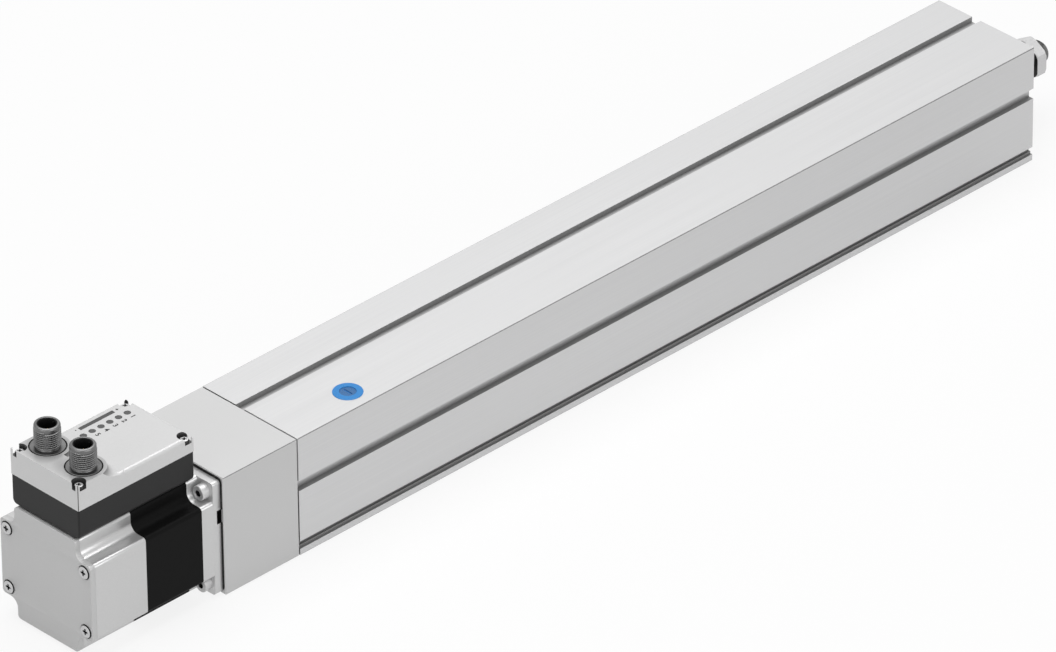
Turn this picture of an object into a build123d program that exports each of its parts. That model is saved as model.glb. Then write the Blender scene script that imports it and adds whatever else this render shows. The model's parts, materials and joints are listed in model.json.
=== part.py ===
from build123d import *
import math
import os

# Electric cylinder: a square profile with a hollow piston rod, driven in line by a stepper motor.
# Frame: origin at the centre of the profile's front face, on the rod's axis.
# +X is the way the rod extends, +Z is up. Millimetres throughout.

# Profile
profile_size = 60.0
profile_length = 460.8
profile_edge = 0.4
profile_wall = 8.5
bore_diameter = profile_size - profile_wall * 2
port_inset = 6.5
port_rise = 14.0
port_diameter = 4.2
sensor_groove_width = 5.3
sensor_groove_depth = 2.7
top_groove_offset = 6.35
side_groove_rise = 5.65
clamp_groove_width = 3.9
clamp_groove_depth = 2.4
clamp_groove_floor = 3.2
clamp_step_depth = 1.2
clamp_step_height = 1.2

# Vent on the profile's top
vent_from_joint = 41.2
vent_offset = 18.0
vent_diameter = 13.7
vent_height = 2.5
vent_rim = 3.0
vent_filter_height = 0.8
vent_hole_diameter = 4.0
vent_slot_width = 1.0
vent_slot_length = 5.0
vent_dish = 0.3
vent_edge = 0.25

# Drive cover and its joint to the profile
cover_length = 43.8
cover_edge = 0.4
joint_gap = 0.4
joint_gasket_inset = 3.4
spigot_length = 10.4
cover_screw_diameter = 6.0
cover_screw_head = 10.0
cover_screw_head_height = 6.0
cover_screw_core = 4.6
cover_screw_grip = 22.0
cover_screw_hex = 5.0

# Fixed bearing of the screw
bearing_bore = 10.0
bearing_outside = 30.0
bearing_width = 14.0
bearing_balls_per_row = 10
bearing_race_thickness = 2.6
bearing_row_share = 0.22
bearing_lip = 6.0
retainer_width = 4.0
retainer_bore = 24.0
retainer_hole = 2.4
lock_nut_width = 6.0
lock_nut_diameter = 18.0
lock_slot_width = 3.0
lock_slot_depth = 1.0

# Ball screw, modelled at its core diameter
screw_core_diameter = 10.0
screw_lead = 10.0
screw_collar_diameter = 14.0
screw_collar_length = 4.0
screw_journal_diameter = 8.0
screw_front_gap = 42.0
tip_ring_length = 8.0
ball_diameter = 2.3
ball_spacing = 2.6
ball_turns = 1.8
ball_clearance = 0.15
ball_nut_diameter = 24.0
ball_nut_length = 36.0
ball_nut_lip = 4.0
ball_nut_lip_clearance = 0.08
nut_start_gap = 0.5

# Jaw coupling between motor and screw
coupling_diameter = 25.0
coupling_gap = 1.0
hub_length = 9.0
spider_length = 4.0
jaw_count = 3
jaw_angle = 34.0
jaw_clearance_angle = 0.5
jaw_clearance = 0.2
jaw_depth = 5.5
spider_bore = 9.0

# Piston rod and what carries it
rod_diameter = 20.0
rod_wall = 2.75
rod_front = 5.0
rod_plug_length = 25.0
rod_collar_length = 8.0
rod_flats = 17.0
thread_diameter = 12.0
thread_pitch_diameter = 11.2
thread_length = 24.0
thread_chamfer = 0.8
nut_across_flats = 18.0
nut_height = 6.0
nut_setback = 12.0
nut_chamfer = 0.8
nut_turn = 30.0
carrier_length = 58.0
carrier_gap = 0.3
carrier_rod_grip = 15.0
carrier_relief = 0.5
guide_ring_length = 10.0
guide_ring_from_rear = 8.0
guide_ring_depth = 2.0
magnet_length = 5.0
magnet_from_rear = 26.0
magnet_depth = 3.0
running_clearance = 0.05
seat_clearance = 0.02

# Ends of the stroke and the front bearing
bumper_thickness = 4.0
bumper_bore = 30.0
carrier_rest_gap = 1.0
front_cap_length = 28.8
front_cap_recess = 3.2
front_cap_lip = 4.0
bush_wall = 3.0
bush_length = 18.0
wiper_wall = 4.0
wiper_lip = 0.6
wiper_lip_width = 2.0
retaining_ring_thickness = 1.75
retaining_ring_width = 4.0
retaining_ring_depth = 1.6
retaining_ring_gap = 12.0
retaining_lug_radius = 2.8
retaining_lug_offset = 8.4
retaining_lug_hole = 1.8

# Motor
motor_size = 57.2
motor_screw_inset = 5.03
motor_screw_offset = motor_size / 2 - motor_screw_inset
motor_pocket_radius = 4.3
motor_corner = 1.8
motor_gasket_thickness = 0.5
motor_gasket_overhang = 0.6
motor_gasket_rise = 1.0
motor_gasket_corner = 2.6
pilot_diameter = 38.1
pilot_length = 1.6
flange_plate = 4.3
flange_corner = 1.5
flange_length = 10.85
flange_notch_low = 7.1
flange_notch_high = 14.1
flange_notch_length = 2.2
flange_notch_depth = 3.0
stator_length = 32.65
housing_length = 29.2
rear_plate = 2.8
shaft_diameter = 6.35
shaft_rear_gap = 14.0
shaft_clearance = 1.0
rotor_diameter = 32.8
rotor_end_gap = 1.5
stator_bore = 34.0
winding_outside = 40.6
winding_length = 3.5
winding_clearance = 0.5
motor_bearing_outside = 19.0
motor_bearing_width = 6.0
motor_bearing_race = 1.9
motor_bearing_ball = 2.2
motor_bearing_balls = 8
motor_cavity = 42.0
encoder_seat = 19.0
encoder_step = 9.8
encoder_thickness = 1.6
encoder_hole = 10.0
motor_screw_diameter = 4.0
motor_screw_head = 7.0
motor_screw_head_height = 4.0
motor_screw_grip = 10.0
motor_screw_hex = 3.0
rear_screw_inset = 4.2
rear_screw_diameter = 3.0
rear_screw_head = 6.0
rear_screw_recess = 6.8
rear_screw_head_height = 1.7
rear_screw_proud = 0.6
rear_screw_cross = 1.0
rear_screw_grip = 7.0
cable_hole = 8.0

# Electronics box
box_length = 66.7
box_width = 42.4
box_rear_inset = 1.0
box_gap = 0.6
base_height = 14.8
base_edge = 2.6
console_height = 8.0
deck_height = 12.9
box_wall = 2.0
roof = 2.0
floor_thickness = 2.0
base_ledge = 1.2
base_gasket_inset = 6.0
base_gasket_width = 3.0
console_edge = 1.8
box_corner = 0.8
board_depth = 3.0
board_thickness = 1.6
board_clearance = 0.2
seal_height = 0.8
seal_width = 0.6

# Screws that hold the electronics cover
box_screw_inset_x = 3.0
box_screw_inset_y = 2.6
box_screw_diameter = 2.5
box_screw_head = 4.4
box_screw_pocket = 6.4
box_screw_head_height = 1.8
box_screw_sink = 1.5
box_screw_grip = 8.0
box_post = 7.2

# Round connectors on the deck
connector_from_rear = 12.5
connector_offset = 11.3
connector_diameter = 12.0
connector_height = 11.6
connector_opening = 8.8
connector_depth = 8.0
connector_flange = 15.7
connector_flange_height = 1.2
connector_recess = 16.9
connector_recess_depth = 1.0
connector_stem = 6.0
connector_chamfer = 0.7
boss_top_radius = 10.0
boss_foot_radius = 17.4
insert_length = 9.0
pin_diameter = 1.0
pin_circle = 5.4
pin_height = 3.5
pin_count = 4
o_ring_thickness = 0.5

# Push buttons and level window on the console
key_count = 6
key_diameter = 3.1
key_flange_diameter = 4.0
key_flange_height = 1.0
key_pitch = 5.1
key_from_front = 7.7
key_offset = 12.0
key_sink = 0.1
key_edge = 0.2
key_travel = 0.5
key_clearance = 0.08
key_roof_gap = 0.2
key_switch_gap = 0.3
key_switch_diameter = 3.0
window_length = 20.0
window_width = 2.2
window_offset = 16.9
window_from_front = 11.1
window_height = 2.6

# Small details shared by several pieces
edge_break = 0.3
cut_through = 1.0
socket_share = 0.5
cross_width = 0.7
cross_depth = 0.8

# Places along the rod's axis
half = profile_size / 2
bore = bore_diameter / 2
profile_rear = -profile_length
cover_front = profile_rear - joint_gap
cover_screw_front = profile_rear + cover_screw_grip
cover_rear = cover_front - cover_length
flange_front = cover_rear - motor_gasket_thickness
plate_rear = flange_front - flange_plate
flange_rear = flange_front - flange_length
stator_rear = flange_rear - stator_length
housing_rear = stator_rear - housing_length
motor_rear = housing_rear - rear_plate
spigot_front = cover_front + spigot_length
seat_front = spigot_front - bearing_lip
seat_rear = seat_front - bearing_width
retainer_rear = seat_rear - retainer_width
lock_nut_rear = seat_rear - lock_nut_width
bumper_front = spigot_front + bumper_thickness
carrier_rear = bumper_front + carrier_rest_gap
carrier_front = carrier_rear + carrier_length
rod_rear = carrier_front - carrier_rod_grip
rod_shoulder = rod_front + rod_collar_length
thread_front = rod_shoulder + thread_length
rod_nut_rear = rod_shoulder + nut_setback
rod_nut_front = rod_nut_rear + nut_height
cap_front = -front_cap_recess
cap_rear = cap_front - front_cap_length
hub_screw_front = lock_nut_rear - coupling_gap
hub_screw_rear = hub_screw_front - hub_length
hub_motor_front = hub_screw_rear - spider_length
hub_motor_rear = hub_motor_front - hub_length
screw_tip = -screw_front_gap

# Radii and half sizes
rod_radius = rod_diameter / 2
rod_bore_radius = rod_radius - rod_wall
guide_radius = rod_radius + running_clearance
screw_radius = screw_core_diameter / 2
journal_radius = screw_journal_diameter / 2
collar_radius = screw_collar_diameter / 2
ball_circle = screw_radius + ball_clearance + ball_diameter / 2
raceway_radius = ball_circle + ball_diameter / 2 + running_clearance
motor_half = motor_size / 2
ear_half = motor_screw_offset - motor_pocket_radius
motor_gasket_top = motor_half + motor_gasket_rise
rear_screw_offset_y = motor_half - rear_screw_inset
rear_screw_offset_z = ear_half - rear_screw_inset
port_y = half - port_inset
cover_screw_y = port_rise
cover_screw_z = port_y
chamber_radius = pilot_diameter / 2 + running_clearance
shaft_radius = shaft_diameter / 2
winding_inside = stator_bore / 2 + winding_clearance

# Heights and places of the electronics box
box_rear = motor_rear + box_rear_inset
box_front = box_rear + box_length
box_half = box_width / 2
base_bottom = motor_half + box_gap
base_top = base_bottom + base_height
console_top = base_top + console_height
deck_top = base_top + deck_height
console_ceiling = console_top - roof
deck_ceiling = deck_top - roof
board_top = base_top - board_depth + board_thickness
board_bottom = base_top - board_depth
connector_x = box_rear + connector_from_rear
connector_seat = deck_top - connector_recess_depth
connector_top = deck_top + connector_height
insert_top = connector_top - connector_depth
insert_bottom = insert_top - insert_length
key_flange_top = console_ceiling - key_roof_gap
key_bottom = key_flange_top - key_flange_height
switch_top = key_bottom - key_travel - key_switch_gap


def span_x(start, end, radius, y=0.0, z=0.0):
    """A round bar along X."""
    return Pos((start + end) / 2, y, z) * Rot(0, 90, 0) * Cylinder(radius, end - start)


def ring_x(start, end, outer, inner, y=0.0, z=0.0):
    """A round sleeve along X."""
    return span_x(start, end, outer, y, z) - span_x(start - cut_through, end + cut_through, inner, y, z)


def span_z(low, high, radius, x=0.0, y=0.0):
    """A round bar along Z."""
    return Pos(x, y, (low + high) / 2) * Cylinder(radius, high - low)


def block(x_low, x_high, y_low, y_high, z_low, z_high):
    """A square-edged block between its six faces."""
    centre = Pos((x_low + x_high) / 2, (y_low + y_high) / 2, (z_low + z_high) / 2)
    return centre * Box(x_high - x_low, y_high - y_low, z_high - z_low)


def sector_x(start, end, radius, angle, turn):
    """A slice of a round bar along X."""
    slice_x = Cylinder(radius, end - start, arc_size=angle, align=(Align.NONE, Align.NONE, Align.CENTER))
    return Pos((start + end) / 2, 0, 0) * Rot(turn, 0, 0) * Rot(0, 90, 0) * slice_x


def prism_x(outline, start, end):
    """An outline drawn in Y and Z, drawn out along X."""
    return extrude(Plane.YZ.offset(start) * outline, amount=end - start)


def four_corners(y, z):
    """The four places mirrored about the rod's axis."""
    return [(side * y, level * z) for side in (-1, 1) for level in (-1, 1)]


def group(pieces):
    """Separate solids that share one node."""
    solids = []
    for piece in pieces:
        solids += piece.solids()
    return Compound(children=solids)


def hexagon(across_flats, turn=0.0):
    """A hexagon by its width across flats."""
    return Rot(0, 0, turn) * RegularPolygon(across_flats / 2, 6, major_radius=False)


def socket_screw(seat, way, diameter, grip, head, head_height, hex_size, y, z):
    """A socket cap screw along X: its head stands behind the seat and its shank points ahead."""
    shank = span_x(seat, seat + way * grip, diameter / 2, y, z)
    body = span_x(seat - way * head_height, seat, head / 2, y, z)
    rim = body.edges().group_by(Axis.X)[0]
    body = chamfer(rim, edge_break)
    socket = prism_x(Pos(y, z) * hexagon(hex_size), seat - head_height, seat - head_height * socket_share)
    return body + shank - socket


def cross_screw(top, head, head_height, diameter, grip):
    """A pan screw along Z with its head's top at the given height, standing on its own axis."""
    seat = top - head_height
    body = span_z(seat, top, head / 2)
    body = fillet(body.edges().group_by(Axis.Z)[-1], head_height * socket_share)
    shank = span_z(seat - grip, seat, diameter / 2)
    slot = Box(head * socket_share, cross_width, cross_depth * 2)
    drive = Pos(0, 0, top) * (slot + Rot(0, 0, 90) * slot)
    return body + shank - drive


# Profile and its vent

def groove_cuts():
    """Sensor grooves on three sides and a stepped clamp groove low on both sides."""
    reach = profile_length + cut_through * 2
    middle = profile_rear / 2
    sensor = Box(reach, sensor_groove_width, sensor_groove_depth * 2)
    cuts = [Pos(middle, top_groove_offset, half) * sensor]
    upper_height = clamp_groove_width - clamp_step_height
    upper_z = -half + clamp_groove_floor + clamp_step_height + upper_height / 2
    step_z = -half + clamp_groove_floor + clamp_step_height / 2
    for side in (-1, 1):
        cuts.append(Pos(middle, side * half, side_groove_rise) * Rot(90, 0, 0) * sensor)
        cuts.append(Pos(middle, side * half, upper_z) * Box(reach, clamp_groove_depth * 2, upper_height))
        cuts.append(Pos(middle, side * half, step_z) * Box(reach, clamp_step_depth * 2, clamp_step_height))
    return cuts


def make_profile():
    outline = Rectangle(profile_size, profile_size)
    outline = fillet(outline.vertices(), profile_edge)
    body = prism_x(outline, profile_rear, 0)
    body -= span_x(profile_rear - cut_through, cut_through, bore)
    for y, z in four_corners(port_y, port_rise):
        body -= span_x(profile_rear - cut_through, cut_through, port_diameter / 2, y, z)
    for y, z in four_corners(cover_screw_y, cover_screw_z):
        body -= span_x(profile_rear - cut_through, cover_screw_front, cover_screw_core / 2, y, z)
    for cut in groove_cuts():
        body -= cut
    ring_rear = cap_front
    ring_front = cap_front + retaining_ring_thickness + seat_clearance
    body -= span_x(ring_rear, ring_front, bore + retaining_ring_depth)
    vent_x = profile_rear + vent_from_joint
    pocket = vent_diameter / 2 + seat_clearance
    body -= span_z(half - vent_height, half + cut_through, pocket, vent_x, -vent_offset)
    body -= span_z(0, half, vent_hole_diameter / 2, vent_x, -vent_offset)
    return body


def make_vent_plug():
    vent_x = profile_rear + vent_from_joint
    top = half + vent_dish
    plug = span_z(half - vent_height, top, vent_diameter / 2, vent_x, -vent_offset)
    plug = fillet(plug.edges().group_by(Axis.Z)[-1], vent_edge)
    dish = vent_diameter / 2 - vent_rim
    plug -= span_z(half - vent_filter_height, top + cut_through, dish, vent_x, -vent_offset)
    plug -= span_z(half - vent_height - cut_through, top, vent_hole_diameter / 2, vent_x, -vent_offset)
    return plug


def make_vent_filter():
    vent_x = profile_rear + vent_from_joint
    radius = vent_diameter / 2 - vent_rim - seat_clearance
    disc = span_z(half - vent_filter_height, half, radius, vent_x, -vent_offset)
    slot = Pos(vent_x, -vent_offset, half) * Box(vent_slot_width, vent_slot_length, vent_filter_height)
    return disc - slot


# Drive cover, its gaskets and screws

def make_drive_cover():
    body = block(cover_rear, cover_front, -half, half, -half, half)
    body = chamfer(body.edges(), cover_edge)
    body += span_x(cover_front - cut_through, spigot_front, bore - seat_clearance)
    body -= span_x(cover_rear - cut_through, seat_rear, chamber_radius)
    body -= span_x(seat_rear - cut_through, seat_front, bearing_outside / 2)
    body -= span_x(seat_front - cut_through, spigot_front + cut_through, retainer_bore / 2)
    for y, z in four_corners(motor_screw_offset, motor_screw_offset):
        depth = motor_screw_grip + cut_through * 2
        body -= span_x(cover_rear - cut_through, cover_rear + depth, motor_screw_diameter / 2, y, z)
    sink = cover_screw_head_height + cut_through
    for y, z in four_corners(cover_screw_y, cover_screw_z):
        body -= span_x(cover_rear - cut_through, cover_rear + sink, cover_screw_head / 2 + edge_break, y, z)
        body -= span_x(cover_rear, cover_front + cut_through, cover_screw_diameter / 2 + edge_break, y, z)
    return body


def make_profile_gasket():
    size = profile_size - joint_gasket_inset * 2
    body = prism_x(Rectangle(size, size), cover_front, profile_rear)
    body -= span_x(cover_front - cut_through, profile_rear + cut_through, bore)
    hole = cover_screw_diameter / 2 + edge_break
    for y, z in four_corners(cover_screw_y, cover_screw_z):
        body -= span_x(cover_front - cut_through, profile_rear + cut_through, hole, y, z)
    return body


def make_motor_gasket():
    width = motor_size + motor_gasket_overhang * 2
    height = motor_gasket_top + motor_half
    outline = Pos(0, (motor_gasket_top - motor_half) / 2) * Rectangle(width, height)
    outline = fillet(outline.vertices(), motor_gasket_corner)
    body = prism_x(outline, flange_front, cover_rear)
    body -= span_x(flange_front - cut_through, cover_rear + cut_through, chamber_radius)
    for y, z in four_corners(motor_screw_offset, motor_screw_offset):
        body -= span_x(flange_front - cut_through, cover_rear + cut_through, motor_screw_diameter / 2, y, z)
    return body - side_slots()


def make_cover_screws():
    seat = cover_rear + cover_screw_head_height + cut_through
    reach = cover_front - seat + joint_gap
    screws = []
    tip_rear = profile_rear - seat_clearance
    for y, z in four_corners(cover_screw_y, cover_screw_z):
        screw = socket_screw(seat, 1, cover_screw_diameter, reach, cover_screw_head,
                             cover_screw_head_height, cover_screw_hex, y, z)
        tip = span_x(tip_rear, cover_screw_front, cover_screw_core / 2, y, z)
        screws.append(screw + tip)
    return group(screws)


# Fixed bearing, screw and coupling

def make_screw_bearing_outer():
    return ring_x(seat_rear, seat_front, bearing_outside / 2, bearing_outside / 2 - bearing_race_thickness)


def make_screw_bearing_inner():
    return ring_x(seat_rear, seat_front, bearing_bore / 2 + bearing_race_thickness, bearing_bore / 2)


def ball_row(x, circle, ball, count):
    balls = []
    for number in range(count):
        angle = 2 * math.pi * number / count
        balls.append(Pos(x, circle * math.cos(angle), circle * math.sin(angle)) * Sphere(ball / 2))
    return balls


def make_bearing_balls():
    race_gap = (bearing_outside - bearing_bore) / 2 - bearing_race_thickness * 2
    circle = (bearing_outside + bearing_bore) / 4
    ball = race_gap - running_clearance * 2
    balls = []
    for side in (-1, 1):
        x = (seat_rear + seat_front) / 2 + side * bearing_width * bearing_row_share
        balls += ball_row(x, circle, ball, bearing_balls_per_row)
    race = motor_bearing_outside / 2 - motor_bearing_race
    for x in motor_bearing_centres():
        balls += ball_row(x, race - motor_bearing_ball / 2, motor_bearing_ball, motor_bearing_balls)
    return group(balls)


def make_bearing_retainer():
    body = ring_x(retainer_rear, seat_rear, chamber_radius, retainer_bore / 2)
    hole_circle = (chamber_radius + retainer_bore / 2) / 2
    hole = retainer_hole / 2
    for side in (-1, 1):
        body -= span_x(retainer_rear - cut_through, retainer_rear + cut_through, hole, side * hole_circle)
    return body


def make_screw_lock_nut():
    body = ring_x(lock_nut_rear, seat_rear, lock_nut_diameter / 2, bearing_bore / 2)
    middle = (lock_nut_rear + seat_rear) / 2
    for side in (-1, 1):
        place = Pos(middle, side * lock_nut_diameter / 2, 0)
        body -= place * Box(lock_nut_width, lock_slot_depth * 2, lock_slot_width)
    return body


def make_screw_shaft():
    body = span_x(seat_front, screw_tip, screw_radius)
    body += span_x(seat_front, seat_front + screw_collar_length, collar_radius)
    body += span_x(lock_nut_rear, seat_front, bearing_bore / 2)
    body += span_x(hub_screw_rear, lock_nut_rear, journal_radius)
    return body


def make_screw_tip_ring():
    outer = rod_bore_radius - running_clearance
    return ring_x(screw_tip - tip_ring_length, screw_tip, outer, screw_radius)


def jaws(start, end, first_turn, spare_angle, spare_depth):
    """The claws of a hub, or the spaces for them, as parts of a ring."""
    core = span_x(start - cut_through, end + cut_through, coupling_diameter / 2 - jaw_depth - spare_depth)
    claws = []
    for number in range(jaw_count):
        turn = first_turn - spare_angle + number * 360 / jaw_count
        radius = coupling_diameter / 2 + spare_depth
        claws.append(sector_x(start, end, radius, jaw_angle + spare_angle * 2, turn) - core)
    return claws


def make_coupling_hub_motor():
    body = ring_x(hub_motor_rear, hub_motor_front, coupling_diameter / 2, shaft_radius)
    for claw in jaws(hub_motor_front, hub_screw_rear - jaw_clearance, 0, 0, 0):
        body += claw
    return body


def make_coupling_hub_screw():
    body = ring_x(hub_screw_rear, hub_screw_front, coupling_diameter / 2, journal_radius)
    for claw in jaws(hub_motor_front + jaw_clearance, hub_screw_rear, 180 / jaw_count, 0, 0):
        body += claw
    return body


def make_coupling_spider():
    start = hub_motor_front + jaw_clearance / 2
    end = hub_screw_rear - jaw_clearance / 2
    body = ring_x(start, end, coupling_diameter / 2, spider_bore / 2)
    for first in (0, 180 / jaw_count):
        for claw in jaws(start - cut_through, end + cut_through, first, jaw_clearance_angle, jaw_clearance):
            body -= claw
    return body


# Piston rod, ball nut and carrier

def make_piston_rod():
    return ring_x(rod_rear, rod_front, rod_radius, rod_bore_radius)


def make_rod_end():
    body = span_x(rod_front, rod_shoulder, rod_radius)
    body &= block(rod_front, rod_shoulder, -rod_flats / 2, rod_flats / 2, -rod_radius, rod_radius)
    body += span_x(rod_front - rod_plug_length, rod_front, rod_bore_radius)
    body += span_x(rod_shoulder, rod_nut_front, thread_pitch_diameter / 2)
    tip = span_x(rod_nut_front, thread_front, thread_diameter / 2)
    tip = chamfer(tip.edges().group_by(Axis.X)[-1], thread_chamfer)
    return body + tip


def make_rod_nut():
    body = prism_x(hexagon(nut_across_flats, nut_turn), rod_nut_rear, rod_nut_front)
    corner_radius = nut_across_flats / math.sqrt(3)
    dome = span_x(rod_nut_rear, rod_nut_front, corner_radius)
    body &= chamfer(dome.edges().filter_by(GeomType.CIRCLE), nut_chamfer)
    return body - span_x(rod_nut_rear - cut_through, rod_nut_front + cut_through, thread_pitch_diameter / 2)


def make_ball_nut():
    start = carrier_rear + nut_start_gap
    end = start + ball_nut_length
    body = ring_x(start, end, ball_nut_diameter / 2, screw_radius + ball_nut_lip_clearance)
    body -= span_x(start + ball_nut_lip, end - ball_nut_lip, raceway_radius)
    return body


def make_ball_train():
    per_turn = math.hypot(2 * math.pi * ball_circle, screw_lead) / ball_spacing
    count = int(per_turn * ball_turns)
    start = carrier_rear + nut_start_gap + (ball_nut_length - screw_lead * ball_turns) / 2
    balls = []
    for number in range(count):
        turn = number / per_turn
        angle = 2 * math.pi * turn
        place = Pos(start + screw_lead * turn, ball_circle * math.cos(angle), ball_circle * math.sin(angle))
        balls.append(place * Sphere(ball_diameter / 2))
    return group(balls)


def make_nut_carrier():
    outer = bore - carrier_gap
    body = span_x(carrier_rear, carrier_front, outer)
    nut_end = carrier_rear + nut_start_gap + ball_nut_length
    body -= span_x(carrier_rear - cut_through, nut_end, ball_nut_diameter / 2)
    body -= span_x(nut_end - cut_through, carrier_front, raceway_radius + carrier_relief)
    body -= span_x(rod_rear, carrier_front + cut_through, rod_radius)
    guide_rear = carrier_rear + guide_ring_from_rear
    body -= ring_x(guide_rear, guide_rear + guide_ring_length, bore + cut_through, bore - guide_ring_depth)
    magnet_rear = carrier_rear + magnet_from_rear
    body -= ring_x(magnet_rear, magnet_rear + magnet_length, bore + cut_through, bore - magnet_depth)
    return body


def make_guide_ring():
    start = carrier_rear + guide_ring_from_rear
    return ring_x(start, start + guide_ring_length, bore - running_clearance, bore - guide_ring_depth)


def make_position_magnet():
    start = carrier_rear + magnet_from_rear
    return ring_x(start, start + magnet_length, bore - carrier_gap, bore - magnet_depth)


def make_bumpers():
    rear = ring_x(spigot_front, bumper_front, bore - seat_clearance, bumper_bore / 2)
    front = ring_x(cap_rear - bumper_thickness, cap_rear, bore - seat_clearance, bumper_bore / 2)
    return group([rear, front])


# Front bearing of the rod

def make_front_cap():
    bush_radius = guide_radius + bush_wall
    wiper_radius = guide_radius + wiper_wall
    body = span_x(cap_rear, cap_front, bore - seat_clearance)
    body -= span_x(cap_rear - cut_through, cap_front + cut_through, guide_radius + edge_break)
    bush_rear = cap_rear + front_cap_lip
    body -= span_x(bush_rear, cap_front + cut_through, bush_radius)
    body -= span_x(bush_rear + bush_length, cap_front + cut_through, wiper_radius)
    return body


def make_rod_bush():
    start = cap_rear + front_cap_lip
    return ring_x(start, start + bush_length, guide_radius + bush_wall, guide_radius)


def make_rod_wiper():
    start = cap_rear + front_cap_lip + bush_length
    outer = guide_radius + wiper_wall
    body = ring_x(start, cap_front, outer, guide_radius)
    lip_outer = guide_radius + wiper_lip_width
    lip = ring_x(cap_front - cut_through, cap_front + wiper_lip, lip_outer, guide_radius)
    return body + lip


def make_retaining_ring():
    start = cap_front
    end = cap_front + retaining_ring_thickness
    outer = bore + retaining_ring_depth - seat_clearance
    lug_z = -(bore - retaining_ring_width)
    body = ring_x(start, end, outer, bore + retaining_ring_depth - retaining_ring_width)
    for side in (-1, 1):
        body += span_x(start, end, retaining_lug_radius, side * retaining_lug_offset, lug_z)
    gap = retaining_ring_gap / 2
    body -= block(start, end, -gap, gap, -profile_size, 0)
    for side in (-1, 1):
        body -= span_x(start, end, retaining_lug_hole / 2, side * retaining_lug_offset, lug_z)
    return body


# Motor

def motor_outline():
    """A square with a rounded pocket at each corner, about the flange screws."""
    reach = motor_size
    pocket_size = reach * 2
    outline = Rectangle(motor_size, motor_size)
    for y, z in four_corners(ear_half + pocket_size / 2, ear_half + pocket_size / 2):
        pocket = Pos(y, z) * RectangleRounded(pocket_size, pocket_size, motor_pocket_radius)
        outline -= pocket
    outer = [v for v in outline.vertices() if max(abs(v.X), abs(v.Y)) > motor_half - cut_through]
    return fillet(outer, motor_corner)


def side_slots():
    """Slots for prising the motor off, in both sides of its flange and gasket."""
    rear = flange_front - flange_notch_length
    depth = motor_half - flange_notch_depth
    wide = block(rear, cover_rear, -motor_size, motor_size, flange_notch_low, flange_notch_high)
    return wide - block(rear, cover_rear, -depth, depth, flange_notch_low, flange_notch_high)


def make_motor_flange():
    plate = fillet(Rectangle(motor_size, motor_size).vertices(), flange_corner)
    body = prism_x(plate, plate_rear, flange_front)
    body += prism_x(motor_outline(), flange_rear, plate_rear + edge_break)
    body += span_x(flange_front - cut_through, flange_front + pilot_length, pilot_diameter / 2)
    body -= span_x(flange_rear - cut_through, flange_rear + motor_bearing_width, motor_bearing_outside / 2)
    body -= span_x(flange_rear, flange_front + pilot_length + cut_through, shaft_radius + shaft_clearance)
    recess_front = flange_rear + winding_length + winding_clearance
    recess_outer = winding_outside / 2 + winding_clearance
    body -= ring_x(flange_rear - cut_through, recess_front, recess_outer, stator_bore / 2)
    for y, z in four_corners(motor_screw_offset, motor_screw_offset):
        body -= span_x(plate_rear - cut_through, flange_front + cut_through, motor_screw_diameter / 2, y, z)
    return body - side_slots()


def make_motor_screws():
    screws = []
    reach = flange_plate + motor_gasket_thickness + motor_screw_grip
    for y, z in four_corners(motor_screw_offset, motor_screw_offset):
        screws.append(socket_screw(plate_rear, 1, motor_screw_diameter, reach, motor_screw_head,
                                   motor_screw_head_height, motor_screw_hex, y, z))
    return group(screws)


def make_motor_stator():
    body = prism_x(motor_outline(), stator_rear, flange_rear)
    return body - span_x(stator_rear - cut_through, flange_rear + cut_through, stator_bore / 2)


def make_stator_windings():
    rear = ring_x(stator_rear - winding_length, stator_rear, winding_outside / 2, winding_inside)
    front = ring_x(flange_rear, flange_rear + winding_length, winding_outside / 2, winding_inside)
    return group([rear, front])


def motor_bearing_centres():
    """Middle of the rear and of the front motor bearing."""
    return [stator_rear - motor_bearing_width / 2, flange_rear + motor_bearing_width / 2]


def make_motor_housing():
    body = prism_x(motor_outline(), housing_rear, stator_rear)
    body -= span_x(stator_rear - motor_bearing_width, stator_rear + cut_through, motor_bearing_outside / 2)
    recess_rear = stator_rear - winding_length - winding_clearance
    recess_outer = winding_outside / 2 + winding_clearance
    body -= ring_x(recess_rear, stator_rear + cut_through, recess_outer, stator_bore / 2)
    cavity_front = housing_rear + encoder_step + encoder_thickness
    body -= span_x(housing_rear - cut_through, cavity_front, motor_cavity / 2)
    wall = stator_rear - motor_bearing_width
    body -= span_x(housing_rear, wall - cut_through, encoder_seat)
    body -= span_x(wall - cut_through * 2, wall + cut_through, shaft_radius + shaft_clearance)
    hole_front = housing_rear + rear_screw_grip
    for y, z in four_corners(rear_screw_offset_y, rear_screw_offset_z):
        body -= span_x(housing_rear - cut_through, hole_front, rear_screw_diameter / 2, y, z)
    body -= span_z(0, motor_size, cable_hole / 2, cable_x())
    return body


def cable_x():
    """Where the motor's leads rise into the electronics box."""
    return housing_rear + encoder_step + encoder_thickness + cable_hole


def make_motor_rear_cover():
    body = prism_x(motor_outline(), motor_rear, housing_rear)
    seat = motor_rear + rear_screw_head_height
    for y, z in four_corners(rear_screw_offset_y, rear_screw_offset_z):
        body -= span_x(motor_rear - cut_through, seat, rear_screw_recess / 2, y, z)
        body -= span_x(motor_rear, housing_rear + cut_through, rear_screw_diameter / 2, y, z)
    return body


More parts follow.
